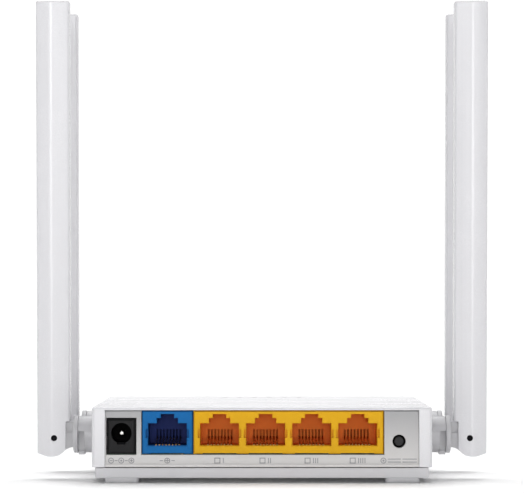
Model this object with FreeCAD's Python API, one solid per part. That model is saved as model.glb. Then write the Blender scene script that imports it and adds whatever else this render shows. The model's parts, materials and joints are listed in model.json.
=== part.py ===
import FreeCAD, Part
import math
import os
from FreeCAD import Vector

# Wireless router: a flat case with five network sockets, a power jack and a push button on its rear panel,
# and four blade antennas on its sides, each on an elbow that turns in the side wall and a pin that lets it fold.
# Millimetres. The origin is on the table under the middle of the case, +Z is up, the sockets face -Y.

# ---- Case -------------------------------------------------------------------------------------------------
CASE_WIDTH = 104.0
CASE_DEPTH = 80.0
CASE_TOP = 23.3  # above the table
SEAM_Z = 4.9  # the top cover's lower edge
SEAM_GAP = 0.3  # from there down to the base cover's wall
FOOT_HEIGHT = 1.5
WALL = 1.6
TOP_WALL = 0.8  # thin, so that the sockets reach almost to the top
REAR_CORNER = 1.0
FRONT_CORNER = 5.0
FIT_GAP = 0.1  # between parts of the case that fit into each other
HALF_W = CASE_WIDTH / 2
HALF_D = CASE_DEPTH / 2
REAR_Y = -HALF_D

FRAME_SIDE = 4.0  # the rear frame's uprights
FRAME_TOP = 1.0  # and its thin top bar
PANEL_SETBACK = 0.8
PANEL_THICKNESS = 2.0
PANEL_TOP_STEP = 0.35  # the panel's face ends this far under its upper edge
PANEL_LIP = 0.9  # the strip along its bottom edge that stands forward

BASE_INSET = 1.0
BASE_FLOOR_TOP = FOOT_HEIGHT + 1.6
LIP_TOP = SEAM_Z + 1.7
LIP_THICKNESS = 1.0

FOOT_SIZE = (10.5, 12.0)
FOOT_CENTRE = (43.0, 32.0)
PAD_HEIGHT = 0.7

# ---- Main board -------------------------------------------------------------------------------------------
BOARD_TOP = 8.8
BOARD_THICKNESS = 1.6
BOARD_HALF_W = 48.4
BOARD_REAR = -36.9
BOARD_FRONT = 34.5
BOSSES = [(sx * 44.5, y) for sx in (-1, 1) for y in (-6.0, 30.0)]
POSTS = [(-24.0, 27.0), (24.0, 27.0)]
SCREW_RADIUS = 1.05

# ---- Sockets ----------------------------------------------------------------------------------------------
SOCKET_FACE = REAR_Y + 1.1
SOCKET_DEPTH = 21.0
SOCKET_TOP = 22.1
FACE_STEP = 0.35  # the front of each housing is smaller by this much all round
FACE_STEP_DEPTH = 1.5
CAVITY_DEPTH = 13.0
WAN_X = -28.95
WAN_WIDTH = 15.7
LAN_PITCH = 14.1
LAN_FIRST_X = -13.0
LAN_SIDE = 8.0  # from the outer LAN sockets' centres to the block's sides
LAN_XS = [LAN_FIRST_X + LAN_PITCH * i for i in range(4)]
MOUTH_BOTTOM = 11.4
MOUTH_TOP = 18.25
MOUTH_HALF_W = 5.95
LATCH_STEPS = [(3.25, 19.85), (2.05, 21.05)]  # half width and top of the two steps over the mouth
NOTCH_DEPTH = 0.7
NOTCH_Z = (13.8, 16.4)
CONTACT_PITCH = 1.02
CONTACT_WIDTH = 0.42
CONTACT_TIP_Z = 13.6

# ---- Power jack -------------------------------------------------------------------------------------------
JACK_X = -43.0
JACK_WIDTH = 8.9
JACK_TOP = 19.75
JACK_STEP = 0.6  # the front of the housing is narrower by this much on each side
JACK_STEP_DEPTH = 1.2
JACK_DEPTH = 14.0
JACK_AXIS_Z = 15.2
JACK_BORE = 3.15
JACK_BORE_DEPTH = 9.6
JACK_PIN_RADIUS = 1.0
JACK_PIN_NECK = 0.7  # where it passes through the back of the bore
JACK_PIN_SETBACK = 1.6

# ---- Button -----------------------------------------------------------------------------------------------
BUTTON_X = 41.9
BUTTON_Z = 12.75
BUTTON_RADIUS = 1.4
BUTTON_HOLE = 2.05
SWITCH_FACE = -33.2

# ---- Status lights ----------------------------------------------------------------------------------------
LIGHT_XS = [-12.5 + 5.0 * i for i in range(6)]
LIGHT_Y = 31.0
LIGHT_SIZE = (1.2, 2.4)

# ---- Antennas ---------------------------------------------------------------------------------------------
HINGE_YS = {"rear": -22.0, "front": 11.0}
ELBOW_Z = 14.0  # the elbow's axis, along X
PIN_X = 64.75  # the fold pin's axis, along Y
PIN_Z = 12.95
PIN_RADIUS = 0.95
RUNNING_GAP = 0.05

BLADE_TOP = 149.7
BLADE_BOTTOM = 7.2
BLADE_HALF_W = 5.1
BLADE_HALF_W_TOP = 5.25
BLADE_MIDDLE = 0.2  # from the pin outward to the blade's middle, at the pin's height
BLADE_LEAN = 0.0054  # the middle leans outward by this much for each mm of height
BLADE_RIDGE = 4.1  # half thickness at the ridge
BLADE_EDGE = 2.75  # and at the sides
RIDGE_SHIFT = 0.75  # from the blade's middle outward to the ridge
FACET_BULGE = 0.2  # how far each facet's middle stands out from a flat one
BLADE_WALL = 1.0
FORK_TOP = 18.15
FORK_GAP = 1.8  # half width of the slot between the ears
EAR_INNER = PIN_X - 3.5
PARTING_LINE = 0.15  # width and depth of the groove where the blade's two shells meet

NECK_RADIUS = 3.5
NECK_END = 48.6
COLLAR_RADIUS = 5.7
COLLAR_START = HALF_W + 0.1
POCKET = (55.2, 57.3)  # the stretch of the collar with a pocket in it
POCKET_TOP = 15.2
POCKET_FLOOR = 2.5  # from the elbow's axis
FLANGE = (57.3, 58.8)
FLANGE_GROOVE = (0.25, 0.5)  # width and depth of the groove beside the flange
FLANGE_RADIUS = 5.85
TONGUE_HALF = 1.7
TONGUE_END = 3.8  # radius round the pin
LEAD_BORE = 1.1
TONGUE_BORE = 0.85
CABLE_RADIUS = 0.6


# ---- Helpers ----------------------------------------------------------------------------------------------
def block(x, y, z):
    """A box between the low and high values of x, y and z."""
    return Part.makeBox(x[1] - x[0], y[1] - y[0], z[1] - z[0], Vector(x[0], y[0], z[0]))


def rod(start, axis, radius, length):
    """A cylinder from start, along axis."""
    return Part.makeCylinder(radius, length, Vector(*start), Vector(*axis))


def ring(start, axis, outer, inner, length):
    """A tube from start, along axis."""
    return rod(start, axis, outer, length).cut(rod(start, axis, inner, length))


def joined(shapes):
    """All the shapes as one."""
    whole = shapes[0]
    for other in shapes[1:]:
        whole = whole.fuse(other)
    return whole.removeSplitter()


def without(shape, cuts):
    """The shape with each of the cuts taken out of it."""
    for tool in cuts:
        shape = shape.cut(tool)
    return shape


def rounded_wire(corners, place):
    """A closed wire through 2-D corners (a, b, radius), each rounded by its radius; place maps (a, b) to a point."""
    n = len(corners)
    ends = []
    for i in range(n):
        here = Vector(corners[i][0], corners[i][1], 0)
        back = Vector(corners[i - 1][0], corners[i - 1][1], 0) - here
        ahead = Vector(corners[(i + 1) % n][0], corners[(i + 1) % n][1], 0) - here
        back.normalize()
        ahead.normalize()
        radius = corners[i][2]
        if radius == 0:
            ends.append((here, here, here))
            continue
        half = back.getAngle(ahead) / 2
        middle = back + ahead
        middle.normalize()
        centre = here + middle * (radius / math.sin(half))
        reach = radius / math.tan(half)
        ends.append((here + back * reach, centre - middle * radius, here + ahead * reach))
    edges = []
    for i in range(n):
        first, top, last = (place(p.x, p.y) for p in ends[i])
        if corners[i][2] > 0:
            edges.append(Part.Arc(first, top, last).toShape())
        following = place(ends[(i + 1) % n][0].x, ends[(i + 1) % n][0].y)
        if (following - last).Length > 1e-6:
            edges.append(Part.LineSegment(last, following).toShape())
    return Part.Wire(edges)


def plan(corners, z0, z1):
    """A prism on an outline of (x, y, radius) corners, from z0 to z1."""
    face = Part.Face(rounded_wire(corners, lambda a, b: Vector(a, b, z0)))
    return face.extrude(Vector(0, 0, z1 - z0))


def side_profile(corners, y0, y1):
    """A prism on an outline of (x, z, radius) corners, from y0 to y1."""
    face = Part.Face(rounded_wire(corners, lambda a, b: Vector(a, y0, b)))
    return face.extrude(Vector(0, y1 - y0, 0))


def rectangle(x, y, radius):
    """The corners of a rectangle with one radius."""
    return [(x[0], y[0], radius), (x[1], y[0], radius), (x[1], y[1], radius), (x[0], y[1], radius)]


def case_outline(inset):
    """The case's plan outline, moved in by inset."""
    w = HALF_W - inset
    d = HALF_D - inset
    rear = max(REAR_CORNER - inset, 0.3)
    front = max(FRONT_CORNER - inset, 0.3)
    return [(-w, -d, rear), (w, -d, rear), (w, d, front), (-w, d, front)]


def mirrored(shape):
    """The shape on the other side of the case."""
    return shape.mirror(Vector(0, 0, 0), Vector(1, 0, 0))


def cable(points, radius):
    """A round cable along straight runs joined by tangent arcs, each as large as its two runs allow."""
    route = [Vector(*p) for p in points]
    edges = []
    start = route[0]
    for i in range(1, len(route) - 1):
        back = route[i - 1] - route[i]
        ahead = route[i + 1] - route[i]
        shorter = min(back.Length, ahead.Length)
        back.normalize()
        ahead.normalize()
        half = back.getAngle(ahead) / 2
        reach = 0.45 * shorter
        bend = reach * math.tan(half)
        middle = back + ahead
        middle.normalize()
        top = route[i] + middle * (bend / math.sin(half) - bend)
        edges.append(Part.LineSegment(start, route[i] + back * reach).toShape())
        edges.append(Part.Arc(route[i] + back * reach, top, route[i] + ahead * reach).toShape())
        start = route[i] + ahead * reach
    edges.append(Part.LineSegment(start, route[-1]).toShape())
    path = Part.Wire(edges)
    circle = Part.makeCircle(radius, route[0], route[1] - route[0])
    return path.makePipeShell([Part.Wire(circle)], True, False)


def edges_at(shape, test):
    """The shape's edges whose both ends and middle pass the test."""
    found = []
    for edge in shape.Edges:
        low, high = edge.ParameterRange
        if all(test(edge.valueAt(t)) for t in (low, (low + high) / 2, high)):
            found.append(edge)
    return found


# ---- Case parts -------------------------------------------------------------------------------------------
def top_cover():
    """The white shell: top, sides, front and the frame round the port panel."""
    shell = plan(case_outline(0), SEAM_Z, CASE_TOP)
    rim = edges_at(shell, lambda p: abs(p.z - CASE_TOP) < 1e-6 and p.y > REAR_Y + 0.5)
    shell = shell.makeFillet(0.9, rim)
    shell = shell.cut(plan(case_outline(WALL), SEAM_Z - 1, CASE_TOP - TOP_WALL))
    opening_x = HALF_W - FRAME_SIDE
    shell = shell.cut(
        block((-opening_x, opening_x), (REAR_Y - 1, REAR_Y + WALL + 0.5), (SEAM_Z - 1, CASE_TOP - FRAME_TOP))
    )
    stops = []
    for side in (-1, 1):
        inner = sorted((side * (HALF_W - WALL + 0.1), side * (HALF_W - WALL - 1.5)))
        panel_back = REAR_Y + WALL + 1.3
        stops.append(block(inner, (panel_back, panel_back + 1.0), (SEAM_Z + 2.5, CASE_TOP - TOP_WALL + 0.1)))
    bosses = [rod((x, y, BOARD_TOP + 0.05), (0, 0, 1), 2.6, CASE_TOP - TOP_WALL - BOARD_TOP) for x, y in BOSSES]
    shell = joined([shell] + stops + bosses)
    holes = [rod((x, y, BOARD_TOP), (0, 0, 1), SCREW_RADIUS + 0.05, 9.0) for x, y in BOSSES]
    for y in HINGE_YS.values():
        holes.append(rod((-HALF_W - 1, y, ELBOW_Z), (1, 0, 0), NECK_RADIUS + FIT_GAP, CASE_WIDTH + 2))
    w, d = LIGHT_SIZE[0] / 2 + FIT_GAP, LIGHT_SIZE[1] / 2 + FIT_GAP
    for x in LIGHT_XS:
        holes.append(block((x - w, x + w), (LIGHT_Y - d, LIGHT_Y + d), (CASE_TOP - 2, CASE_TOP + 1)))
    return without(shell, holes)


def base_cover():
    """The tray under the case: floor, low wall, lip, screw bosses, board posts, foot blocks and vent slots."""
    wall_top = SEAM_Z - SEAM_GAP
    tray = plan(case_outline(BASE_INSET), FOOT_HEIGHT, wall_top)
    tray = tray.makeFillet(0.35, edges_at(tray, lambda p: abs(p.z - FOOT_HEIGHT) < 1e-6))
    tray = tray.cut(plan(case_outline(BASE_INSET + WALL), BASE_FLOOR_TOP, SEAM_Z + 1))
    lip = plan(case_outline(WALL + 0.15), wall_top - 0.3, LIP_TOP)
    lip = lip.cut(plan(case_outline(WALL + 0.15 + LIP_THICKNESS), SEAM_Z - 1, LIP_TOP + 1))
    lip = lip.cut(block((-HALF_W, HALF_W), (REAR_Y, REAR_Y + PANEL_SETBACK + PANEL_THICKNESS + 0.2), (0, 20)))
    board_bottom = BOARD_TOP - BOARD_THICKNESS
    parts = [tray, lip]
    for x, y in BOSSES:
        parts.append(rod((x, y, BASE_FLOOR_TOP - 0.5), (0, 0, 1), 3.2, board_bottom - BASE_FLOOR_TOP + 0.45))
    for x, y in POSTS:
        parts.append(rod((x, y, BASE_FLOOR_TOP - 0.5), (0, 0, 1), 2.2, board_bottom - BASE_FLOOR_TOP + 0.45))
        parts.append(rod((x, y, board_bottom - 0.1), (0, 0, 1), 0.95, BOARD_THICKNESS + 0.4))
    for x, y in foot_centres():
        parts.append(foot_block(x, y, PAD_HEIGHT, FOOT_HEIGHT + 0.3))
    tray = joined(parts)
    cuts = []
    for x, y in BOSSES:
        cuts.append(rod((x, y, FOOT_HEIGHT - 1), (0, 0, 1), 2.4, 3.1))
        cuts.append(rod((x, y, FOOT_HEIGHT), (0, 0, 1), SCREW_RADIUS + 0.2, 8))
    cuts.append(label_recess())
    cuts += vent_slots()
    return without(tray, cuts)


def foot_centres():
    return [(sx * FOOT_CENTRE[0], sy * FOOT_CENTRE[1]) for sx in (-1, 1) for sy in (-1, 1)]


def foot_block(x, y, z0, z1):
    """A low rectangular foot round (x, y)."""
    w, d = FOOT_SIZE[0] / 2, FOOT_SIZE[1] / 2
    return plan(rectangle((x - w, x + w), (y - d, y + d), 1.2), z0, z1)


def rubber_feet():
    """The four pads that the router stands on."""
    pads = []
    for x, y in foot_centres():
        pad = foot_block(x, y, 0, PAD_HEIGHT)
        pads.append(pad.makeFillet(0.25, edges_at(pad, lambda p: abs(p.z) < 1e-6)))
    return Part.makeCompound(pads)


LABEL_SIZE = (52.0, 20.0)
LABEL_Y = -25.0
LABEL_DEPTH = 0.2


def label_recess():
    w, d = LABEL_SIZE[0] / 2 + 0.4, LABEL_SIZE[1] / 2 + 0.4
    corners = rectangle((-w, w), (LABEL_Y - d, LABEL_Y + d), 1.5)
    return plan(corners, FOOT_HEIGHT - 1, FOOT_HEIGHT + LABEL_DEPTH)


def rating_label():
    """A blank label in its recess under the base."""
    w, d = LABEL_SIZE[0] / 2, LABEL_SIZE[1] / 2
    corners = rectangle((-w, w), (LABEL_Y - d, LABEL_Y + d), 1.2)
    return plan(corners, FOOT_HEIGHT + LABEL_DEPTH - 0.12, FOOT_HEIGHT + LABEL_DEPTH)


VENT_ROWS = (-4.0, 12.0)
VENT_COLUMNS = 15
VENT_PITCH = 4.0
VENT_LENGTH = 12.0
VENT_WIDTH = 1.6


def vent_slots():
    """Two rows of round-ended slots through the base's floor."""
    slots = []
    for y in VENT_ROWS:
        for i in range(VENT_COLUMNS):
            x = VENT_PITCH * (i - (VENT_COLUMNS - 1) / 2)
            corners = rectangle(
                (x - VENT_WIDTH / 2, x + VENT_WIDTH / 2),
                (y - VENT_LENGTH / 2, y + VENT_LENGTH / 2),
                VENT_WIDTH / 2 - 0.01,
            )
            slots.append(plan(corners, FOOT_HEIGHT - 1, BASE_FLOOR_TOP + 1))
    return slots


def port_panel():
    """The plate inside the rear frame, with cut-outs for the sockets, the power jack and the button."""
    front = REAR_Y + PANEL_SETBACK
    back = front + PANEL_THICKNESS
    opening = HALF_W - FRAME_SIDE - FIT_GAP
    top = CASE_TOP - FRAME_TOP - FIT_GAP
    raised = block((-opening, opening), (front, back), (SEAM_Z + 0.05, top - PANEL_TOP_STEP))
    flange_front = REAR_Y + WALL + 0.05
    flange = block((-opening - 1.6, opening + 1.6), (flange_front, back), (SEAM_Z + 0.05, top))
    lip = block((-opening, opening), (REAR_Y + FIT_GAP, front), (SEAM_Z + 0.05, SEAM_Z + PANEL_LIP))
    plate = joined([raised, flange, lip])
    clear = 0.1
    ports = (WAN_X - WAN_WIDTH / 2 - clear, LAN_XS[-1] + LAN_SIDE + clear)
    jack = (JACK_X - JACK_WIDTH / 2 - 0.2, JACK_X + JACK_WIDTH / 2 + 0.2)
    cuts = [
        block(ports, (front - 1, back + 1), (BOARD_TOP - 0.2, top + 1)),
        block(jack, (front - 1, back + 1), (BOARD_TOP - 0.2, JACK_TOP + 0.2)),
        block((-BOARD_HALF_W - 1, BOARD_HALF_W + 1), (BOARD_REAR - 0.2, back + 1), (SEAM_Z, BOARD_TOP + 0.2)),
        rod((BUTTON_X, front - 1, BUTTON_Z), (0, 1, 0), BUTTON_HOLE, PANEL_THICKNESS + 2),
    ]
    return without(plate, cuts)


def case_screws():
    """Four pan-head screws, with cross recesses, from the base into the cover's bosses."""
    screws = []
    head_z = FOOT_HEIGHT + 0.5
    for x, y in BOSSES:
        head = rod((x, y, head_z), (0, 0, 1), 2.1, 1.55)
        head = head.makeFillet(0.5, edges_at(head, lambda p: abs(p.z - head_z) < 1e-6))
        shank = rod((x, y, head_z + 1), (0, 0, 1), SCREW_RADIUS - 0.05, 12.5)
        tip = Part.makeCone(SCREW_RADIUS - 0.05, 0.3, 1.4, Vector(x, y, head_z + 13.5))
        screw = joined([head, shank, tip])
        cross = [
            block((x - 1.2, x + 1.2), (y - 0.25, y + 0.25), (head_z - 1, head_z + 0.8)),
            block((x - 0.25, x + 0.25), (y - 1.2, y + 1.2), (head_z - 1, head_z + 0.8)),
        ]
        screws.append(without(screw, cross))
    return Part.makeCompound(screws)


def led_light_pipe():
    """Six clear posts that carry the status lights to the top, on one bar under the cover."""
    w, d = LIGHT_SIZE[0] / 2, LIGHT_SIZE[1] / 2
    ceiling = CASE_TOP - TOP_WALL
    bar = block((LIGHT_XS[0] - 2, LIGHT_XS[-1] + 2), (LIGHT_Y - d - 0.8, LIGHT_Y + d + 0.8), (ceiling - 1.6, ceiling))
    posts = [block((x - w, x + w), (LIGHT_Y - d, LIGHT_Y + d), (9.8, CASE_TOP - 0.05)) for x in LIGHT_XS]
    return joined([bar] + posts)


# ---- Board and what is on it ------------------------------------------------------------------------------
def main_board():
    corners = rectangle((-BOARD_HALF_W, BOARD_HALF_W), (BOARD_REAR, BOARD_FRONT), 1.5)
    board = plan(corners, BOARD_TOP - BOARD_THICKNESS, BOARD_TOP)
    holes = [rod((x, y, 0), (0, 0, 1), SCREW_RADIUS + 0.25, 20) for x, y in BOSSES]
    holes += [rod((x, y, 0), (0, 0, 1), 1.05, 20) for x, y in POSTS]
    return without(board, holes)


def socket_mouth(x, grow, y0, y1):
    """The stepped mouth of a network socket, latch side up, grown all round."""
    low = MOUTH_BOTTOM - grow
    corners = [(x - MOUTH_HALF_W - grow, low, 0), (x + MOUTH_HALF_W + grow, low, 0)]
    steps = [(MOUTH_HALF_W, MOUTH_TOP)] + LATCH_STEPS
    right = []
    for i, (half, top) in enumerate(steps):
        right.append((half + grow, top + grow))
        if i + 1 < len(steps):
            right.append((steps[i + 1][0] + grow, top + grow))
    corners += [(x + a, b, 0) for a, b in right]
    corners += [(x - a, b, 0) for a, b in reversed(right)]
    return side_profile(corners, y0, y1)


def socket_housing(left, right, centres):
    """A moulded housing with one cavity at each centre."""
    back = SOCKET_FACE + SOCKET_DEPTH
    step_back = SOCKET_FACE + FACE_STEP_DEPTH
    body = block((left, right), (step_back, back), (BOARD_TOP, SOCKET_TOP))
    face_z = (BOARD_TOP + FACE_STEP, SOCKET_TOP - FACE_STEP)
    face = block((left + FACE_STEP, right - FACE_STEP), (SOCKET_FACE, step_back), face_z)
    housing = joined([body, face])
    cavity_back = SOCKET_FACE + CAVITY_DEPTH
    cuts = []
    for x in centres:
        cuts.append(socket_mouth(x, 0, SOCKET_FACE - 1, cavity_back))
        cuts.append(socket_mouth(x, 0.25, SOCKET_FACE - 1, SOCKET_FACE + 0.25))
        side = MOUTH_HALF_W + NOTCH_DEPTH
        cuts.append(block((x - side, x + side), (SOCKET_FACE - 1, SOCKET_FACE + 2.5), NOTCH_Z))
        # the hollow under the floor, where the contacts run, and the gap where they come up
        cuts.append(block((x - 5.2, x + 5.2), (SOCKET_FACE + 1.4, back - 1.2), (BOARD_TOP - 1, 10.9)))
        cuts.append(block((x - 4.3, x + 4.3), (SOCKET_FACE + 1.4, SOCKET_FACE + 3.4), (10, MOUTH_BOTTOM + 1)))
        for i in range(8):
            cx = x + CONTACT_PITCH * (i - 3.5)
            cuts.append(block((cx - 0.3, cx + 0.3), (cavity_back - 0.5, cavity_back + 4.0), (12.6, 15.7)))
    return without(housing, cuts)


def socket_contacts(centres):
    """Eight bent strips to a socket: a leg on the board, a run under the floor and a sprung finger in the mouth."""
    t = 0.12
    front = SOCKET_FACE + 2.4
    strips = []
    for x in centres:
        for i in range(8):
            leg = SOCKET_FACE + SOCKET_DEPTH - (2.2 if i % 2 else 4.6)
            outline = [
                (leg - t, BOARD_TOP), (leg + t, BOARD_TOP), (leg + t, 10.3), (front + 2 * t, 10.3),
                (front + 2 * t, 11.5), (SOCKET_FACE + 12.2, CONTACT_TIP_Z - 2 * t),
                (SOCKET_FACE + 12.2, CONTACT_TIP_Z), (front, 11.7), (front, 10.3 - 2 * t), (leg - t, 10.3 - 2 * t),
            ]
            cx = x + CONTACT_PITCH * (i - 3.5) - CONTACT_WIDTH / 2
            points = [Vector(cx, a, b) for a, b in outline]
            face = Part.Face(Part.makePolygon(points + points[:1]))
            strips.append(face.extrude(Vector(CONTACT_WIDTH, 0, 0)))
    return Part.makeCompound(strips)


def power_jack():
    """The black housing of the power jack, with a round bore and a slot for its leaf."""
    x = (JACK_X - JACK_WIDTH / 2, JACK_X + JACK_WIDTH / 2)
    step_back = SOCKET_FACE + JACK_STEP_DEPTH
    body = block(x, (step_back, SOCKET_FACE + JACK_DEPTH), (BOARD_TOP, JACK_TOP))
    face_x = (x[0] + JACK_STEP, x[1] - JACK_STEP)
    face = block(face_x, (SOCKET_FACE, step_back), (BOARD_TOP + JACK_STEP, JACK_TOP - JACK_STEP))
    face = face.makeFillet(0.2, edges_at(face, lambda p: abs(p.y - SOCKET_FACE) < 1e-6))
    bore_back = SOCKET_FACE + JACK_BORE_DEPTH
    cuts = [
        rod((JACK_X, SOCKET_FACE - 1, JACK_AXIS_Z), (0, 1, 0), JACK_BORE, JACK_BORE_DEPTH + 1),
        block((JACK_X - 1.3, JACK_X + 1.3), (SOCKET_FACE - 1, bore_back), (11.75, 12.35)),
        block((x[0] + 1.2, x[1] - 1.2), (bore_back + 1.5, SOCKET_FACE + 20), (BOARD_TOP - 1, 18.5)),
        rod((JACK_X, SOCKET_FACE, JACK_AXIS_Z), (0, 1, 0), JACK_PIN_NECK, JACK_DEPTH),
    ]
    return without(joined([body, face]), cuts)


def power_jack_pin():
    """The centre pin, with a domed tip, a neck through the housing and a tail bent down to the board."""
    tip = SOCKET_FACE + JACK_PIN_SETBACK
    neck = SOCKET_FACE + JACK_BORE_DEPTH - 0.3
    tail = SOCKET_FACE + JACK_BORE_DEPTH + 2.5
    pin = rod((JACK_X, tip, JACK_AXIS_Z), (0, 1, 0), JACK_PIN_RADIUS, neck - tip)
    pin = pin.makeFillet(0.9, edges_at(pin, lambda p: abs(p.y - tip) < 1e-6))
    shank = rod((JACK_X, neck - 1, JACK_AXIS_Z), (0, 1, 0), JACK_PIN_NECK, tail - neck + 1)
    strip = block((JACK_X - 1.0, JACK_X + 1.0), (tail - 0.6, tail), (BOARD_TOP, JACK_AXIS_Z))
    return joined([pin, shank, strip])


def power_jack_spring():
    """The leaf that touches the plug's barrel, along the bottom of the bore."""
    front = SOCKET_FACE + 3.0
    back = SOCKET_FACE + JACK_BORE_DEPTH - 0.6
    outline = [(front, 11.75), (back, 11.75), (back, 12.0), (front + 3.0, 12.5), (front + 0.4, 12.5),
               (front, 12.2)]
    points = [Vector(JACK_X - 1.1, a, b) for a, b in outline]
    return Part.Face(Part.makePolygon(points + points[:1])).extrude(Vector(2.2, 0, 0))


def reset_switch():
    """The push switch behind the button: a case with a round well in front, on the board."""
    case = block((BUTTON_X - 3, BUTTON_X + 3), (SWITCH_FACE, SWITCH_FACE + 3.8), (BOARD_TOP, 15.8))
    well = rod((BUTTON_X, SWITCH_FACE - 1, BUTTON_Z), (0, 1, 0), BUTTON_RADIUS + 0.25, 3.0)
    legs = [
        block((BUTTON_X + s - 0.4, BUTTON_X + s + 0.4), (SWITCH_FACE + 3.7, SWITCH_FACE + 5.2), (BOARD_TOP, 9.1))
        for s in (-2.25, 2.25)
    ]
    return joined([case] + legs).cut(well)


def reset_button():
    """The plunger that is pressed through the port panel, with a shoulder behind the panel."""
    face = REAR_Y + PANEL_SETBACK + 0.35
    inner = SWITCH_FACE + 1.2
    stem = rod((BUTTON_X, face, BUTTON_Z), (0, 1, 0), BUTTON_RADIUS, inner - face)
    stem = stem.makeFillet(0.3, edges_at(stem, lambda p: abs(p.y - face) < 1e-6))
    shoulder_y = REAR_Y + PANEL_SETBACK + PANEL_THICKNESS + 0.2
    shoulder = rod((BUTTON_X, shoulder_y, BUTTON_Z), (0, 1, 0), 2.5, 1.0)
    return joined([stem, shoulder])


def chip(x, y, w, d, h):
    """A flat component standing on the board at (x, y)."""
    return block((x - w / 2, x + w / 2), (y - d / 2, y + d / 2), (BOARD_TOP, BOARD_TOP + h))


def leaded_chip(x, y, w, d, h, leads, pitch):
    """A moulded component with a row of flat leads along its front and its back."""
    parts = [block((x - w / 2, x + w / 2), (y - d / 2, y + d / 2), (BOARD_TOP + 0.1, BOARD_TOP + h))]
    for i in range(leads):
        lx = x + pitch * (i - (leads - 1) / 2)
        parts.append(block((lx - 0.2, lx + 0.2), (y - d / 2 - 1, y + d / 2 + 1), (BOARD_TOP, BOARD_TOP + 0.2)))
    return joined(parts)


PROCESSOR_AT = (0.0, 8.0)


def heat_sink():
    """A finned block on top of the processor."""
    x, y = PROCESSOR_AT
    bottom = BOARD_TOP + 1.1
    sink = block((x - 8, x + 8), (y - 8, y + 8), (bottom, bottom + 5))
    gaps = [block((x - 6.6 + 3 * i, x - 5.2 + 3 * i), (y - 9, y + 9), (bottom + 1.3, bottom + 6)) for i in range(5)]
    return without(sink, gaps)


def radio_shield():
    """A folded metal lid over the radio section."""
    lid = chip(27, 17, 24, 18, 2.4)
    return lid.cut(block((27 - 11.8, 27 + 11.8), (17 - 8.8, 17 + 8.8), (BOARD_TOP - 1, BOARD_TOP + 2.2)))


def filter_capacitors():
    """Round capacitors with a rolled neck, on square bases."""
    cans = []
    for x, y in ((-33.5, -13.5), (-33.5, -5.5), (33.5, -12.5)):
        base = chip(x, y, 6.6, 6.6, 0.8)
        can = rod((x, y, BOARD_TOP + 0.7), (0, 0, 1), 3.1, 7.0)
        neck = ring((x, y, BOARD_TOP + 1.6), (0, 0, 1), 4.0, 2.8, 0.6)
        cans.append(joined([base, can.cut(neck)]))
    return Part.makeCompound(cans)


def small_board_parts():
    """The crystal and rows of chip resistors and capacitors."""
    parts = [chip(10.5, 20, 3.2, 2.5, 0.8)]
    for i in range(8):
        parts.append(chip(-13 + 2.2 * i, -3.6, 0.8, 1.6, 0.5))
        parts.append(chip(-26 + 2.0 * (i % 4), 14 + 3.4 * (i // 4), 0.8, 1.6, 0.5))
    return Part.makeCompound(parts)


def status_leds():
    return Part.makeCompound([chip(x, LIGHT_Y, 0.8, 1.6, 0.7) for x in LIGHT_XS])


def antenna_leads():
    """Four coaxial leads, each from the board into an elbow's bore."""
    leads = []
    for y in HINGE_YS.values():
        route = [
            (57.0, y, ELBOW_Z),
            (50.5, y, ELBOW_Z),
            (44.5, y + 0.6, ELBOW_Z - 0.4),
            (40.4, y + 4.6, ELBOW_Z - 3.0),
            (39.8, y + 9.2, BOARD_TOP + CABLE_RADIUS + 0.15),
            (39.8, y + 13.0, BOARD_TOP + CABLE_RADIUS + 0.05),
        ]
        lead = cable(route, CABLE_RADIUS)
        leads += [lead, mirrored(lead)]
    return Part.makeCompound(leads)


# ---- Antennas ---------------------------------------------------------------------------------------------
def blade_section(half_w, inset, z):
    """The blade's section at height z: a rounded ridge front and back, slightly bulging facets and round sides."""
    middle = PIN_X + BLADE_MIDDLE + BLADE_LEAN * (z - PIN_Z)
    w = half_w - inset
    ridge = BLADE_RIDGE - inset
    edge = BLADE_EDGE - inset
    bulge = (ridge + edge) / 2 + FACET_BULGE
    outer_bulge = (RIDGE_SHIFT + w) / 2
    inner_bulge = (RIDGE_SHIFT - w) / 2
    side = max(1.1 - inset, 0.2)
    crest = 4.0 - inset
    front = [(w, edge, side), (outer_bulge, bulge, 10 - inset), (RIDGE_SHIFT, ridge, crest),
             (inner_bulge, bulge, 10 - inset), (-w, edge, side)]
    rear = [(a, -b, radius) for a, b, radius in reversed(front)]
    return rounded_wire(front + rear, lambda a, b: Vector(middle + a, b, z))


def blade_outline():
    """The blade seen along the pin: long sides, a notch for the tongue and a foot that clears the elbow."""
    inner = PIN_X - BLADE_HALF_W - 1
    outer = PIN_X + BLADE_HALF_W + 1
    return [
        (inner, BLADE_TOP + 1, 0), (inner, FORK_TOP, 0), (EAR_INNER, FORK_TOP, 0.5),
        (EAR_INNER, PIN_Z - 3.75, 0.5), (PIN_X - 1.6, BLADE_BOTTOM + 0.4, 0.8),
        (PIN_X + 0.2, BLADE_BOTTOM - 0.05, 2.0), (PIN_X + 2.2, BLADE_BOTTOM + 0.05, 1.5),
        (outer, BLADE_BOTTOM + 1.3, 0), (outer, BLADE_TOP + 1, 0),
    ]


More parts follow.
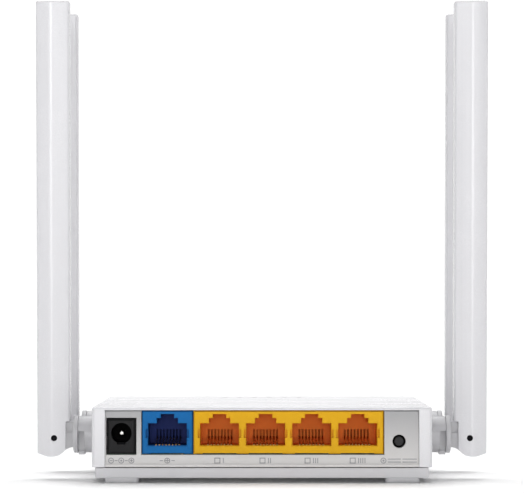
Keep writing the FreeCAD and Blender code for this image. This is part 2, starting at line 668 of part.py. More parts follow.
def blade(y):
    """The hollow blade on the right-hand side, before it is split into two shells."""
    foot = BLADE_BOTTOM - 1
    outer = Part.makeLoft(
        [blade_section(BLADE_HALF_W, 0, foot), blade_section(BLADE_HALF_W_TOP, 0, BLADE_TOP)], True, True
    )
    outer = outer.makeFillet(0.6, edges_at(outer, lambda p: abs(p.z - BLADE_TOP) < 1e-6))
    outer = outer.common(side_profile(blade_outline(), -10, 10))
    hollow = Part.makeLoft(
        [
            blade_section(BLADE_HALF_W, BLADE_WALL, FORK_TOP + 1.2),
            blade_section(BLADE_HALF_W_TOP, BLADE_WALL, BLADE_TOP - 1.3),
        ],
        True,
        True,
    )
    core = Part.makeLoft(
        [
            blade_section(BLADE_HALF_W, PARTING_LINE, foot - 1),
            blade_section(BLADE_HALF_W_TOP, PARTING_LINE, BLADE_TOP + 1),
        ],
        True,
        True,
    )
    line = PARTING_LINE / 2
    groove = block((PIN_X - 10, PIN_X + 10), (-line, line), (foot, BLADE_TOP + 0.5)).cut(core)
    slot = block((PIN_X - 10, PIN_X + 4.0), (-FORK_GAP, FORK_GAP), (0, FORK_TOP))
    pin_hole = rod((PIN_X, -10, PIN_Z), (0, 1, 0), PIN_RADIUS + 0.01, 20)
    cable_hole = rod((PIN_X - 1.0, 0, FORK_TOP - 1), (0, 0, 1), CABLE_RADIUS + 0.3, 4)
    whole = without(outer, [hollow, groove, slot, pin_hole, cable_hole])
    whole.translate(Vector(0, y, 0))
    return whole


def blade_shell(y, side):
    """The half of the blade on one side of its middle plane: -1 is the rear half."""
    half = block((PIN_X - 20, PIN_X + 20), sorted((y, y + side * 20)), (0, BLADE_TOP + 10))
    return blade(y).common(half)


def radiator(y):
    """The printed antenna strip inside the blade."""
    x = PIN_X + 0.2
    strip = block((x - 2.2, x + 2.2), (y + 0.2, y + 0.8), (34.0, BLADE_TOP - 6))
    notches = [block((x - 1.2, x + 3), (y - 1, y + 2), (60.0 + 34 * i, 61.5 + 34 * i)) for i in range(2)]
    return without(strip, notches)


def feed_cable(y):
    """The coaxial cable from the blade's foot to the radiator strip."""
    route = [(PIN_X - 1.0, y, FORK_TOP + 0.4), (PIN_X - 1.0, y - 0.1, FORK_TOP + 8), (PIN_X - 0.2, y - 0.6, 33.0),
             (PIN_X, y - 0.6, 44.0)]
    return cable(route, CABLE_RADIUS)


def elbow(y):
    """The piece that turns in the side wall: neck, collar with a pocket, flange, and the tongue that holds the pin."""
    neck = rod((NECK_END, 0, ELBOW_Z), (1, 0, 0), NECK_RADIUS, COLLAR_START - NECK_END + 1)
    collar = rod((COLLAR_START, 0, ELBOW_Z), (1, 0, 0), COLLAR_RADIUS, FLANGE[0] - COLLAR_START)
    collar = collar.makeFillet(0.35, edges_at(collar, lambda p: abs(p.x - COLLAR_START) < 1e-6))
    core = rod((COLLAR_START, 0, ELBOW_Z), (1, 0, 0), POCKET_FLOOR, FLANGE[1] - COLLAR_START)
    flange = rod((FLANGE[0], 0, ELBOW_Z), (1, 0, 0), FLANGE_RADIUS, FLANGE[1] - FLANGE[0])
    flange = flange.makeFillet(0.3, edges_at(flange, lambda p: (p.y**2 + (p.z - ELBOW_Z) ** 2) > 33))
    width, depth = FLANGE_GROOVE
    groove_start = (FLANGE[0] - width, 0, ELBOW_Z)
    collar = collar.cut(ring(groove_start, (1, 0, 0), COLLAR_RADIUS + 1, COLLAR_RADIUS - depth, width))
    collar = collar.cut(block(POCKET, (-10, -POCKET_FLOOR), (0, POCKET_TOP)))
    lug_x = (POCKET[0], FLANGE[0] - width)
    lug = block(lug_x, (-4.2, 1.5), (ELBOW_Z - FLANGE_RADIUS - 0.25, ELBOW_Z - FLANGE_RADIUS + 0.75))
    parts = [neck, collar, core, flange, lug, tongue()]
    whole = joined(parts)
    groove_x = NECK_END + 0.7
    cuts = [
        ring((groove_x, 0, ELBOW_Z), (1, 0, 0), NECK_RADIUS + 1, 2.9, 0.8),
        rod((NECK_END - 1, 0, ELBOW_Z), (1, 0, 0), LEAD_BORE, 13.5),
        rod((PIN_X - 4.0, 0, ELBOW_Z), (0, 0, 1), TONGUE_BORE, 10),
        rod((PIN_X, -10, PIN_Z), (0, 1, 0), PIN_RADIUS + RUNNING_GAP, 20),
    ]
    for side in (-1, 1):
        slot = sorted((side * (TONGUE_HALF - 0.6), side * (TONGUE_HALF + 1)))
        upper_face = sorted((side * (TONGUE_HALF - 0.3), side * (TONGUE_HALF + 1)))
        cuts.append(block((FLANGE[1], PIN_X - 2.9), slot, (POCKET_TOP - 0.7, POCKET_TOP)))
        cuts.append(block((FLANGE[1], PIN_X - 2.9), upper_face, (POCKET_TOP - 0.1, ELBOW_Z + 6)))
    whole = without(whole, cuts)
    whole.translate(Vector(0, y, 0))
    return whole


def tongue():
    """The flat bar from the flange to the pin, with a round end."""
    root = FLANGE[1] - 0.5
    corners = [(root, PIN_Z - 2.75, 0), (PIN_X, PIN_Z - TONGUE_END - 0.35, 0), (PIN_X, PIN_Z + TONGUE_END, 0),
               (PIN_X - 3.0, PIN_Z + 4.75, 1.0), (root, PIN_Z + 4.9, 0)]
    bar = side_profile(corners, -TONGUE_HALF, TONGUE_HALF)
    below = rod((PIN_X, -TONGUE_HALF, PIN_Z), (0, 1, 0), TONGUE_END, 2 * TONGUE_HALF)
    trimmed = bar.cut(block((PIN_X - 3, PIN_X + 1), (-3, 3), (0, PIN_Z)))
    return joined([trimmed, below])


def elbow_clip(y):
    """The open ring that keeps the elbow in the wall, in the neck's groove."""
    x = NECK_END + 0.75
    clip = ring((x, y, ELBOW_Z), (1, 0, 0), 4.5, 2.95, 0.7)
    return clip.cut(block((x - 1, x + 2), (y - 1.9, y + 1.9), (ELBOW_Z, ELBOW_Z + 10)))


def elbow_washer(y):
    """The friction washer between the clip and the wall."""
    x = NECK_END + 1.5
    return ring((x, y, ELBOW_Z), (1, 0, 0), 4.9, NECK_RADIUS + 0.1, HALF_W - WALL - x - 0.05)


def hinge_pin(y):
    """The fold pin: pressed into the blade's ears, its ends a little below their faces."""
    length = 2 * (BLADE_RIDGE - 0.8)
    pin = rod((PIN_X, y - length / 2, PIN_Z), (0, 1, 0), PIN_RADIUS, length)
    return pin.makeChamfer(0.15, edges_at(pin, lambda p: abs(abs(p.y - y) - length / 2) < 1e-6))


ANTENNA_PIECES = {
    "elbow": elbow,
    "elbow_clip": elbow_clip,
    "elbow_washer": elbow_washer,
    "hinge_pin": hinge_pin,
    "blade_rear_shell": lambda y: blade_shell(y, -1),
    "blade_front_shell": lambda y: blade_shell(y, 1),
    "radiator": radiator,
    "feed_cable": feed_cable,
}


def antennas():
    """Every piece of the four antennas, by node name."""
    found = {}
    for row, y in HINGE_YS.items():
        for piece, make in ANTENNA_PIECES.items():
            right = make(y)
            found[f"{row}_right_{piece}"] = right
            found[f"{row}_left_{piece}"] = mirrored(right)
    return found


def model():
    """Every node's name and shape."""
    nodes = {
        "top_cover": top_cover(),
        "base_cover": base_cover(),
        "port_panel": port_panel(),
        "rubber_feet": rubber_feet(),
        "case_screws": case_screws(),
        "rating_label": rating_label(),
        "led_light_pipe": led_light_pipe(),
        "main_board": main_board(),
        "wan_socket": socket_housing(WAN_X - WAN_WIDTH / 2, WAN_X + WAN_WIDTH / 2, [WAN_X]),
        "wan_socket_contacts": socket_contacts([WAN_X]),
        "lan_socket_block": socket_housing(LAN_XS[0] - LAN_SIDE, LAN_XS[-1] + LAN_SIDE, LAN_XS),
        "lan_socket_contacts": socket_contacts(LAN_XS),
        "power_jack": power_jack(),
        "power_jack_pin": power_jack_pin(),
        "power_jack_spring": power_jack_spring(),
        "reset_switch": reset_switch(),
        "reset_button": reset_button(),
        "processor": chip(*PROCESSOR_AT, 12, 12, 1.1),
        "heat_sink": heat_sink(),
        "memory_chips": Part.makeCompound(
            [leaded_chip(-17, 8, 10, 8, 1.1, 8, 1.2), leaded_chip(-17, 22, 5.2, 5.2, 1.7, 4, 1.27)]
        ),
        "network_transformers": Part.makeCompound(
            [leaded_chip(x, -11, 14, 8.5, 6.0, 12, 1.1) for x in (-19.0, 8.0)]
        ),
        "filter_capacitors": filter_capacitors(),
        "power_inductors": Part.makeCompound([chip(-33.5, y, 5, 5, 2.4) for y in (3.0, 10.0)]),
        "radio_shield": radio_shield(),
        "small_board_parts": small_board_parts(),
        "status_leds": status_leds(),
        "antenna_leads": antenna_leads(),
    }
    nodes.update(antennas())
    return nodes


os.makedirs("parts", exist_ok=True)
for name, shape in model().items():
    for solid in shape.Solids:
        if not solid.isValid() or solid.Volume <= 0:
            raise ValueError(f"{name} has a bad solid")
    if not shape.Solids:
        raise ValueError(f"{name} has no solid")
    shape.exportStep(f"parts/{name}.step")
    print(f"{name}: {len(shape.Solids)} solids, {sum(s.Volume for s in shape.Solids):.2f} mm3")
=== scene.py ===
import json
import math

import bmesh
import bpy
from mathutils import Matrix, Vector


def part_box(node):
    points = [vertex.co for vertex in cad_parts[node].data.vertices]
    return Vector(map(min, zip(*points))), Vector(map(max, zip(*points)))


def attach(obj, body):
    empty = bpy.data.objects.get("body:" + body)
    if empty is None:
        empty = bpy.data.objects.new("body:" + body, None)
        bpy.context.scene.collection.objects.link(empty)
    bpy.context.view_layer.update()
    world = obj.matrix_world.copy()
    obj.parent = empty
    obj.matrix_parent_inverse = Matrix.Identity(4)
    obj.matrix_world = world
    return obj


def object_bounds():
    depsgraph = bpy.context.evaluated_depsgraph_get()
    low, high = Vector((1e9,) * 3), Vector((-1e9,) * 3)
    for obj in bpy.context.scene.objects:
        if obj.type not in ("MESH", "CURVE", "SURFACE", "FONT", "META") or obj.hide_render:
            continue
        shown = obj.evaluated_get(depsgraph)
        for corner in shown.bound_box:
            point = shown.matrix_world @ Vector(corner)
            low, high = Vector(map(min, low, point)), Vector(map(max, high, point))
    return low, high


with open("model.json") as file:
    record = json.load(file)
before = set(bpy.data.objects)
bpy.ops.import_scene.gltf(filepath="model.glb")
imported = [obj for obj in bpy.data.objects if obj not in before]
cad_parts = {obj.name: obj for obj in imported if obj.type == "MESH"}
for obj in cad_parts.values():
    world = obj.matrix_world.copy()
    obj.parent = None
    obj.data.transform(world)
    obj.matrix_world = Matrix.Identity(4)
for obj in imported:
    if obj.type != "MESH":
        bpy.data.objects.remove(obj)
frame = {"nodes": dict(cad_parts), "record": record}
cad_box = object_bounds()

# A wireless router on a pale studio floor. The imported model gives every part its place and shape. This script
# gives each material slot its surface, adds the printed marks, and sets up the floor, lights and camera.
# Metres, +Z up, the sockets face -Y.

MM = 0.001
_, REAR_FACE_Y, GROUND_Z = cad_box[0]


# ---- Node helpers -----------------------------------------------------------------------------------------
def is_output(value):
    """Whether a value is another node's output, which is linked rather than set."""
    return isinstance(value, bpy.types.NodeSocket)


def node(tree, kind, inputs=None, **settings):
    """A new node with its settings; inputs holds a value or another node's output for each socket."""
    made = tree.nodes.new(kind)
    for name, value in settings.items():
        setattr(made, name, value)
    for socket, value in (inputs or {}).items():
        if is_output(value):
            tree.links.new(value, made.inputs[socket])
        else:
            made.inputs[socket].default_value = value
    return made


def new_material(name, **constants):
    """A new material and its shader; constants are the shader's own values, such as Roughness=0.4."""
    made = bpy.data.materials.new(name)
    made.use_nodes = True
    shader = made.node_tree.nodes["Principled BSDF"]
    for socket, value in constants.items():
        shader.inputs[socket.replace("_", " ")].default_value = value
    return made, shader


def place(tree, stretch=(1.0, 1.0, 1.0)):
    """The point on the piece, in its own frame, stretched along each axis."""
    here = node(tree, "ShaderNodeTexCoord").outputs["Object"]
    return node(tree, "ShaderNodeMapping", {"Vector": here, "Scale": stretch}).outputs["Vector"]


def noise(tree, point, size, detail=3.0, roughness=0.5):
    """Noise from 0 to 1 whose lumps are about size metres."""
    made = node(tree, "ShaderNodeTexNoise", {"Vector": point, "Scale": 1 / size, "Detail": detail,
                                             "Roughness": roughness})
    return made.outputs["Fac"]


def spread(tree, value, low, high, from_low=0.3, from_high=0.7):
    """The value, moved from one range to another; noise is mostly between 0.3 and 0.7."""
    made = node(tree, "ShaderNodeMapRange", {"Value": value, "From Min": from_low, "From Max": from_high,
                                             "To Min": low, "To Max": high})
    return made.outputs["Result"]


def with_alpha(colour):
    """A colour as a node's socket takes it; another node's output stays as it is."""
    return colour if is_output(colour) else (*colour, 1.0)


def blend_colours(tree, factor, first, second):
    """The first colour where the factor is 0 and the second where it is 1."""
    # The mix node repeats its sockets' names for every kind of value, so the colour ones go by number.
    inputs = {0: factor, 6: with_alpha(first), 7: with_alpha(second)}
    return node(tree, "ShaderNodeMix", inputs, data_type="RGBA").outputs[2]


def combine(tree, operation, a, b=0.0, c=0.0):
    """A maths node's result; each input is a number or an output to link."""
    return node(tree, "ShaderNodeMath", {0: a, 1: b, 2: c}, operation=operation).outputs[0]


def bump(tree, height, depth, under=None):
    """A normal roughened by the height, depth metres deep, on top of another normal."""
    inputs = {"Height": height, "Distance": depth, "Strength": 1.0}
    if under is not None:
        inputs["Normal"] = under
    return node(tree, "ShaderNodeBump", inputs).outputs["Normal"]


def shade(colour, factor):
    """The colour made lighter or darker."""
    return tuple(min(c * factor, 1.0) for c in colour)


# ---- Materials --------------------------------------------------------------------------------------------
WHITE = (0.745, 0.741, 0.765)
# The black of painted shade deep in openings.
PAINTED_SHADE_BLACK = (0.002, 0.002, 0.002)
CLOUD_SIZE = 22 * MM  # of the slow changes in a moulding's tone and gloss
CLOUD_GLOSS = 0.02  # how far those move its roughness
GRAIN_GLOSS = 0.03  # how far its grain does
WAVE_SIZE = 9 * MM
WAVE_DEPTH = 0.006 * MM
TARNISH_SIZE = 3 * MM
HOLE_SPACING = 2.4 * MM  # of the circuit board's plated holes
TRACK_SCALE = 90.0
LABEL_FIELD = 0.62  # where the label's grey field starts, as a share of its width


def moulded(name, colour, roughness, grain=0.25 * MM, depth=0.003 * MM, mottle=0.012, **constants):
    """Injection-moulded plastic: fine spark texture, slight waviness, and a gloss and tone that vary."""
    made, shader = new_material(name, **constants)
    tree = made.node_tree
    point = place(tree)
    clouds = noise(tree, point, CLOUD_SIZE, detail=4.0)
    fine = noise(tree, point, grain, detail=2.0)
    tone = spread(tree, clouds, 0.0, 1.0)
    base = blend_colours(tree, tone, shade(colour, 1 - mottle), shade(colour, 1 + mottle))
    specks = spread(tree, fine, 0.0, 0.5, from_low=0.35, from_high=0.75)
    base = blend_colours(tree, specks, base, shade(colour, 1 - 2 * mottle))
    gloss = combine(tree, "ADD", spread(tree, clouds, roughness - CLOUD_GLOSS, roughness + CLOUD_GLOSS),
                    spread(tree, fine, -GRAIN_GLOSS, GRAIN_GLOSS))
    wavy = bump(tree, noise(tree, point, WAVE_SIZE, detail=1.0), WAVE_DEPTH)
    tree.links.new(base, shader.inputs["Base Color"])
    tree.links.new(gloss, shader.inputs["Roughness"])
    tree.links.new(bump(tree, fine, depth, wavy), shader.inputs["Normal"])
    return made


def tint_along(made, axis, start, end, colour):
    """Turns a material's base colour towards another one between two places along an axis of its piece."""
    tree = made.node_tree
    shader = tree.nodes["Principled BSDF"]
    base = shader.inputs["Base Color"].links[0].from_socket
    along = node(tree, "ShaderNodeSeparateXYZ", {"Vector": place(tree)}).outputs[axis]
    factor = spread(tree, along, 0.0, 1.0, from_low=start, from_high=end)
    tree.links.new(blend_colours(tree, factor, base, colour), shader.inputs["Base Color"])
    return made


def socket_plastic(name, housing, colour, painted_cavity_shade):
    """A socket's housing: dull coloured plastic, with painted shade that deepens its tone into its cavities."""
    made = moulded(name, colour, 0.50, mottle=0.04, Specular_IOR_Level=0.12)
    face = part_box(housing)[0].y
    # Painted shade: the tone it turns to deeper in the cavities stands in for their shade and coloured bounce
    # light.
    return tint_along(made, "Y", start=face + 0.5 * MM, end=face + 9 * MM, colour=painted_cavity_shade)


def dark_with_painted_shade(name, piece, colour, depth):
    """Dull dark plastic with painted shade: black from the depth behind the piece's face, for the shade in its
    opening.
    """
    made = moulded(name, colour, 0.60, mottle=0.06, Specular_IOR_Level=0.05)
    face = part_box(piece)[0].y
    # Painted shade: the black behind the face stands in for the shade deep in the opening.
    return tint_along(made, "Y", start=face + 0.5 * depth, end=face + depth, colour=PAINTED_SHADE_BLACK)


def panel_plastic(name):
    """The rear panel's plastic, with painted shade that darkens it towards its top edge, under the frame's
    overhanging lip.
    """
    made = moulded(name, (0.680, 0.668, 0.662), 0.46, grain=0.3 * MM, depth=0.008 * MM)
    low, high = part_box("port_panel")
    # Painted shade: the grey it turns to at the top stands in for the shade under the frame's lip.
    return tint_along(made, "Z", start=low.z + 2 * MM, end=high.z, colour=(0.375, 0.375, 0.385))


def metal(name, colour, roughness, along=(1.0, 1.0, 1.0), line=0.06 * MM, depth=0.002 * MM):
    """Plated or drawn metal: fine lines along the axis whose stretch is small, and faint tarnish."""
    made, shader = new_material(name, Metallic=1.0)
    tree = made.node_tree
    lines = noise(tree, place(tree, along), line, detail=2.0)
    tarnish = noise(tree, place(tree), TARNISH_SIZE, detail=4.0)
    base = blend_colours(tree, spread(tree, tarnish, 0.0, 1.0), shade(colour, 0.82), shade(colour, 1.06))
    gloss = combine(tree, "ADD", spread(tree, tarnish, roughness + 0.08, roughness - 0.04),
                    spread(tree, lines, -0.05, 0.05))
    tree.links.new(base, shader.inputs["Base Color"])
    tree.links.new(gloss, shader.inputs["Roughness"])
    tree.links.new(bump(tree, lines, depth), shader.inputs["Normal"])
    return made


def contact_gold(name):
    """The contacts' plating, with painted shade that darkens their front bends."""
    made = metal(name, (0.16, 0.09, 0.035), 0.20, along=(1.0, 0.1, 1.0))
    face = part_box("lan_socket_block")[0].y
    # Painted shade: the dark front part stands in for the shade on the contacts; the plating behind is its own
    # gold.
    return tint_along(made, "Y", start=face + 3.5 * MM, end=face + 8 * MM, colour=(0.90, 0.52, 0.20))


def foot_rubber(name):
    """Dull rubber with fine pores and a dusty bloom."""
    made, shader = new_material(name, Specular_IOR_Level=0.35)
    tree = made.node_tree
    point = place(tree)
    pores = noise(tree, point, 0.18 * MM, detail=4.0, roughness=0.7)
    bloom = noise(tree, point, 4 * MM, detail=5.0)
    base = blend_colours(tree, spread(tree, bloom, 0.0, 1.0), (0.50, 0.50, 0.515), (0.60, 0.60, 0.615))
    tree.links.new(base, shader.inputs["Base Color"])
    tree.links.new(spread(tree, bloom, 0.7, 0.9), shader.inputs["Roughness"])
    tree.links.new(bump(tree, pores, 0.02 * MM), shader.inputs["Normal"])
    return made


def circuit_board(name):
    """Green solder mask over copper tracks, with plated holes."""
    made, shader = new_material(name, Coat_Weight=0.4, Coat_Roughness=0.2)
    tree = made.node_tree
    point = place(tree)
    cells = node(tree, "ShaderNodeTexVoronoi", {"Vector": point, "Scale": 1 / HOLE_SPACING},
                 distance="MANHATTAN", feature="F1")
    waves = node(tree, "ShaderNodeTexWave", {"Vector": point, "Scale": TRACK_SCALE, "Distortion": 14.0,
                                             "Detail": 0.0, "Detail Scale": 0.2})
    track = spread(tree, waves.outputs["Fac"], 0.0, 1.0, from_low=0.46, from_high=0.54)
    hole = spread(tree, cells.outputs["Distance"], 1.0, 0.0, from_low=0.10, from_high=0.16)
    mask = blend_colours(tree, track, (0.010, 0.095, 0.040), (0.018, 0.150, 0.060))
    base = blend_colours(tree, hole, mask, (0.62, 0.50, 0.22))
    tree.links.new(base, shader.inputs["Base Color"])
    gloss = spread(tree, hole, 0.42, 0.28, from_low=0.0, from_high=1.0)
    tree.links.new(gloss, shader.inputs["Roughness"])
    tree.links.new(bump(tree, combine(tree, "ADD", track, hole), 0.03 * MM), shader.inputs["Normal"])
    return made


def clear_plastic(name):
    """Frosted clear acrylic."""
    made, shader = new_material(name, Transmission_Weight=0.85, IOR=1.49)
    tree = made.node_tree
    frost = noise(tree, place(tree), 0.2 * MM)
    base = blend_colours(tree, frost, (0.86, 0.88, 0.90), (0.93, 0.94, 0.95))
    tree.links.new(base, shader.inputs["Base Color"])
    tree.links.new(spread(tree, frost, 0.3, 0.5), shader.inputs["Roughness"])
    tree.links.new(bump(tree, frost, 0.01 * MM), shader.inputs["Normal"])
    return made


def paper_label(name):
    """A blank printed label: off-white film with paper fibre and a faint grey field along one side."""
    made, shader = new_material(name, Coat_Weight=0.2, Coat_Roughness=0.4)
    tree = made.node_tree
    fibre = noise(tree, place(tree, stretch=(1.0, 3.0, 1.0)), 0.3 * MM, detail=5.0, roughness=0.7)
    low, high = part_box("rating_label")
    along = node(tree, "ShaderNodeSeparateXYZ", {"Vector": place(tree)}).outputs["X"]
    field_edge = low.x + LABEL_FIELD * (high.x - low.x)
    blur = 0.05 * MM
    field = spread(tree, along, 0.0, 1.0, from_low=field_edge - blur, from_high=field_edge + blur)
    ground = blend_colours(tree, field, (0.80, 0.80, 0.79), (0.60, 0.61, 0.62))
    base = blend_colours(tree, spread(tree, fibre, 0.0, 0.35), ground, (0.70, 0.70, 0.68))
    tree.links.new(base, shader.inputs["Base Color"])
    tree.links.new(spread(tree, fibre, 0.5, 0.65), shader.inputs["Roughness"])
    tree.links.new(bump(tree, fibre, 0.006 * MM), shader.inputs["Normal"])
    return made


def slot_materials():
    """Each of the record's material slots, and its surface."""
    return {
        "white_plastic": moulded("white_plastic", WHITE, 0.26, depth=0.002 * MM, mottle=0.007),
        # Painted shade: the elbows are the white plastic made darker, standing in for the shade they sit in
        # between the case and the blades.
        "elbow_plastic": moulded("elbow_plastic", shade(WHITE, 0.68), 0.36),
        # The base is the white plastic made darker, in part a greyer moulding and in part painted shade under
        # the cover's overhang.
        "base_plastic": moulded("base_plastic", shade(WHITE, 0.86), 0.42, grain=0.35 * MM, depth=0.01 * MM),
        "panel_plastic": panel_plastic("panel_plastic"),
        "foot_rubber": foot_rubber("foot_rubber"),
        "screw_steel": metal("screw_steel", (0.50, 0.50, 0.52), 0.32),
        "label": paper_label("label"),
        "clear_plastic": clear_plastic("clear_plastic"),
        "circuit_board": circuit_board("circuit_board"),
        # The last colour given to each socket is painted shade for its cavities.
        "blue_plastic": socket_plastic("blue_plastic", "wan_socket", (0.006, 0.138, 0.400),
                                       (0.014, 0.030, 0.170)),
        "yellow_plastic": socket_plastic("yellow_plastic", "lan_socket_block", (0.780, 0.425, 0.010),
                                         (0.840, 0.215, 0.026)),
        "black_plastic": dark_with_painted_shade("black_plastic", "power_jack", (0.027, 0.027, 0.028), depth=2.5 * MM),
        "button_plastic": dark_with_painted_shade("button_plastic", "reset_button", (0.046, 0.046, 0.048), depth=1.2 * MM),
        "chip_plastic": moulded("chip_plastic", (0.028, 0.028, 0.030), 0.62, grain=0.12 * MM, mottle=0.08),
        "ferrite": moulded("ferrite", (0.060, 0.060, 0.065), 0.55, grain=0.15 * MM, mottle=0.10),
        "led_body": moulded("led_body", (0.780, 0.760, 0.620), 0.25, mottle=0.05),
        "cable_jacket": moulded("cable_jacket", (0.020, 0.020, 0.022), 0.35, mottle=0.06),
        "washer_plastic": moulded("washer_plastic", (0.640, 0.640, 0.600), 0.50),
        "radiator_board": metal("radiator_board", (0.62, 0.42, 0.22), 0.35, along=(1.0, 1.0, 0.1)),
        "gold_contacts": contact_gold("gold_contacts"),
        "pin_metal": metal("pin_metal", (0.80, 0.79, 0.76), 0.16, along=(1.0, 0.1, 1.0)),
        "dark_pin": metal("dark_pin", (0.008, 0.008, 0.009), 0.45, along=(1.0, 0.1, 1.0)),
        "clip_metal": metal("clip_metal", (0.55, 0.55, 0.57), 0.30),
        "shield_metal": metal("shield_metal", (0.70, 0.70, 0.69), 0.34, along=(0.1, 1.0, 1.0)),
        "heat_sink_metal": metal("heat_sink_metal", (0.62, 0.63, 0.66), 0.38, along=(1.0, 0.1, 1.0)),
        "capacitor_metal": metal("capacitor_metal", (0.74, 0.75, 0.77), 0.28, along=(1.0, 1.0, 0.1)),
    }


def dress_nodes(surfaces):
    """Gives each CAD node the surface of its slot."""
    for part in frame["record"]["subparts"]:
        mesh = frame["nodes"][part["node"]].data
        mesh.materials.clear()
        mesh.materials.append(surfaces[part["material_slot"]])


# ---- Printed marks ----------------------------------------------------------------------------------------
INK_THICKNESS = 0.03 * MM
STROKE = 0.26 * MM
RING = 0.9 * MM  # a ring's outer radius
DOT = 0.32 * MM  # the radius of the dot in it
PANEL_FACE = 0.7 * MM  # behind the front of the panel's bottom lip
LAN_SOCKETS = 4
CONTACT_RUN = 7.56 * MM  # across the contacts of one socket


def add_bar(mesh, centre, width, height):
    """A thin printed bar on the rear panel, standing off it by the ink's thickness."""
    made = bmesh.ops.create_cube(mesh, size=1.0)
    for vertex in made["verts"]:
        vertex.co = centre + Vector((vertex.co.x * width, vertex.co.y * INK_THICKNESS, vertex.co.z * height))


def add_ring(mesh, centre, outer, inner, steps=28):
    """A thin printed ring on the rear panel, or a disc where inner is 0."""
    half = INK_THICKNESS / 2
    turns = [2 * math.pi * i / steps for i in range(steps)]
    loops = []
    for radius, y in ((outer, -half), (outer, half), (inner, half), (inner, -half)):
        loops.append([mesh.verts.new(centre + Vector((radius * math.cos(t), y, radius * math.sin(t))))
                      for t in turns])
    for a, b in zip(loops, loops[1:] + loops[:1]):
        for i in range(steps):
            j = (i + 1) % steps
            mesh.faces.new((a[i], a[j], b[j], b[i]))


def printed_marks(name, draw):
    """A piece on the casing that holds printed marks, drawn by draw into a mesh."""
    mesh = bmesh.new()
    draw(mesh)
    bmesh.ops.recalc_face_normals(mesh, faces=mesh.faces)
    data = bpy.data.meshes.new(name)
    mesh.to_mesh(data)
    mesh.free()
    data.materials.append(moulded("mark_ink", (0.33, 0.33, 0.35), 0.55))
    piece = bpy.data.objects.new(name, data)
    bpy.context.scene.collection.objects.link(piece)
    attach(piece, "casing")


def middle_x(piece):
    """The x of the middle of a piece."""
    low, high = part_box(piece)
    return (low.x + high.x) / 2


def socket_centres():
    """The x of the WAN socket and of each LAN socket."""
    low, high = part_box("lan_socket_contacts")
    pitch = (high.x - low.x - CONTACT_RUN) / (LAN_SOCKETS - 1)
    return middle_x("wan_socket"), [low.x + CONTACT_RUN / 2 + pitch * i for i in range(LAN_SOCKETS)]


def across(mesh, centre, x, length, z=0.0):
    """A level stroke whose middle is x and z away from the centre."""
    add_bar(mesh, centre + Vector((x, 0.0, z)), length, STROKE)


def upright(mesh, centre, x, length):
    """An upright stroke, x to the right of the centre."""
    add_bar(mesh, centre + Vector((x, 0.0, 0.0)), STROKE, length)


def ringed(mesh, centre, x, dot=False):
    """A ring, x to the right of the centre, with or without a dot in it."""
    middle = centre + Vector((x, 0.0, 0.0))
    add_ring(mesh, middle, RING, RING - STROKE)
    if dot:
        add_ring(mesh, middle, DOT, 0.0, 16)


def power_mark(mesh, centre):
    """The polarity sign of a barrel jack: minus, the dotted ring and plus, joined by strokes."""
    step = 3.1 * MM
    length = 0.9 * MM
    for x in (-step, 0.0, step):
        ringed(mesh, centre, x, dot=(x == 0.0))
    for x in (-step, -step / 2, step / 2, step):
        across(mesh, centre, x, length)
    upright(mesh, centre, step, length)


def wan_mark(mesh, centre):
    """A globe between two strokes."""
    ringed(mesh, centre, 0.0)
    across(mesh, centre, 0.0, 1.3 * MM)
    upright(mesh, centre, 0.0, 1.3 * MM)
    for side in (-1, 1):
        across(mesh, centre, side * 1.8 * MM, 1.0 * MM)


def lan_mark(mesh, centre, count):
    """A socket's outline and one upright stroke for each of its number."""
    width, height = 1.8 * MM, 1.5 * MM
    step = 0.65 * MM
    start = -(2.4 * MM + step * count) / 2
    for z in (-height / 2, height / 2):
        across(mesh, centre, start + width / 2, width, z)
    for x in (STROKE / 2, width - STROKE / 2):
        upright(mesh, centre, start + x, height)
    for i in range(count):
        upright(mesh, centre, start + 1.5 * width + step * i, 1.6 * MM)


def button_mark(mesh, centre):
    """A dotted ring and a double stroke, for a button that is pressed or held."""
    ringed(mesh, centre, -4.8 * MM, dot=True)
    for x, length in ((-1.5, 4.0), (3.2, 4.4)):
        for z in (-0.45, 0.45):
            across(mesh, centre, x * MM, length * MM, z * MM)


def draw_port_marks(mesh):
    """A mark without letters under each port."""
    panel_low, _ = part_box("port_panel")
    _, board_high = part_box("main_board")
    y = panel_low.y + PANEL_FACE - INK_THICKNESS / 2
    z = (panel_low.z + board_high.z) / 2  # half way up to the sockets, which stand on the board
    wan, lans = socket_centres()
    power_mark(mesh, Vector((middle_x("power_jack"), y, z)))
    wan_mark(mesh, Vector((wan, y, z)))
    for count, x in enumerate(lans, start=1):
        lan_mark(mesh, Vector((x, y, z)), count)
    button_mark(mesh, Vector((middle_x("reset_button"), y, z)))


# ---- Studio -----------------------------------------------------------------------------------------------
FLOOR_REACH = 6.0  # from the middle to each side
FLOOR_DROP = 0.02 * MM  # below the feet, so that no two faces lie in one plane


def studio_floor():
    """A large pale floor under the feet."""
    mesh = bmesh.new()
    bmesh.ops.create_grid(mesh, x_segments=1, y_segments=1, size=FLOOR_REACH)
    data = bpy.data.meshes.new("studio_floor")
    mesh.to_mesh(data)
    mesh.free()
    made, shader = new_material("floor_paint", Specular_IOR_Level=0.2, Roughness=0.85,
                                Emission_Color=(1.0, 1.0, 1.0, 1.0), Emission_Strength=0.02)
    tree = made.node_tree
    clouds = noise(tree, place(tree), size=0.4, detail=2.0)
    paint = blend_colours(tree, clouds, (0.96, 0.96, 0.96), (0.98, 0.98, 0.98))
    tree.links.new(paint, shader.inputs["Base Color"])
    data.materials.append(made)
    floor = bpy.data.objects.new("studio_floor", data)
    floor.location.z = GROUND_Z - FLOOR_DROP
    bpy.context.scene.collection.objects.link(floor)


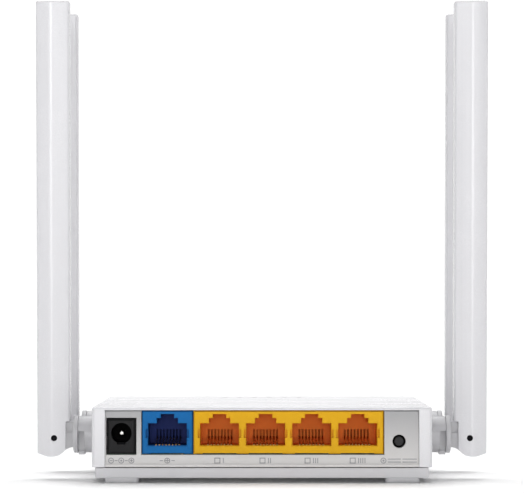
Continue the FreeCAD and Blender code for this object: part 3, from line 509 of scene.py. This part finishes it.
def soft_sun(name, azimuth, elevation, width, level):
    """Light from a far disc, width degrees across; level is what it adds to a white face towards it.

    An azimuth of 0 is the camera's side, and 180 is behind the case.
    """
    data = bpy.data.lights.new(name, "SUN")
    data.angle = math.radians(width)
    data.energy = level * math.pi
    lamp = bpy.data.objects.new(name, data)
    turn, rise = math.radians(azimuth), math.radians(elevation)
    source = Vector((-math.sin(turn) * math.cos(rise), -math.cos(turn) * math.cos(rise), math.sin(rise)))
    lamp.rotation_euler = source.to_track_quat("Z", "Y").to_euler()
    bpy.context.scene.collection.objects.link(lamp)


def near_light(name, at, target, size, radiance):
    """A small square light close to the case, which the camera doesn't see."""
    data = bpy.data.lights.new(name, "AREA")
    data.size = size
    data.energy = radiance * math.pi * size * size
    lamp = bpy.data.objects.new(name, data)
    lamp.location = at
    lamp.rotation_euler = (Vector(at) - Vector(target)).to_track_quat("Z", "Y").to_euler()
    lamp.visible_camera = False
    bpy.context.scene.collection.objects.link(lamp)


ROOM = 0.12  # the brightness of the room's ceiling
SIDES = 0.42  # of its side walls, at eye height
HORIZON = 1.06  # of its far and near walls, which are also the backdrop


def studio_world():
    """A pale room, brightest at eye height to the front and to the rear."""
    world = bpy.data.worlds.new("studio")
    world.use_nodes = True
    tree = world.node_tree
    direction = node(tree, "ShaderNodeTexCoord").outputs["Generated"]
    axes = node(tree, "ShaderNodeSeparateXYZ", {"Vector": direction}).outputs
    wall = spread(tree, combine(tree, "ABSOLUTE", axes["X"]), HORIZON, SIDES, from_low=0.25, from_high=0.80)
    height = spread(tree, combine(tree, "ABSOLUTE", axes["Z"]), 0.0, 1.0, from_low=0.16, from_high=0.40)
    level = combine(tree, "MULTIPLY_ADD", height, combine(tree, "SUBTRACT", ROOM, wall), wall)
    background = tree.nodes["Background"]
    background.inputs["Color"].default_value = (1.0, 1.0, 1.0, 1.0)
    tree.links.new(level, background.inputs["Strength"])
    bpy.context.scene.world = world


def studio_lights():
    """The room, a soft main light from above and behind, two low lights in front and a near one."""
    studio_world()
    soft_sun("main_light", azimuth=180, elevation=68, width=66, level=1.00)
    soft_sun("low_front_light", azimuth=0, elevation=4, width=14, level=0.165)
    soft_sun("low_side_light", azimuth=-24, elevation=8, width=10, level=0.045)
    near_light("near_front_light", at=(-0.06, -0.28, 0.22), target=(0.0, 0.0, 0.05), size=0.10, radiance=3.2)


CAMERA_DISTANCE = 0.700  # from the rear face
CAMERA_HEIGHT = 0.0544
CAMERA_PITCH = 1.45  # degrees up
LENS = 157.3  # mm, as the sensor's width is
SENSOR_WIDTH = 36.0


def studio_camera():
    """A long lens a little above the case, looking at the sockets."""
    data = bpy.data.cameras.new("camera")
    data.lens = LENS
    data.sensor_width = SENSOR_WIDTH
    data.clip_start = 0.05
    camera = bpy.data.objects.new("camera", data)
    camera.location = (0.0, REAR_FACE_Y - CAMERA_DISTANCE, CAMERA_HEIGHT)
    camera.rotation_euler = (math.radians(90 + CAMERA_PITCH), 0.0, 0.0)
    bpy.context.scene.collection.objects.link(camera)
    bpy.context.scene.camera = camera


dress_nodes(slot_materials())
printed_marks("port_marks", draw_port_marks)
studio_floor()
studio_lights()
studio_camera()
bpy.context.scene.view_settings.view_transform = "Standard"
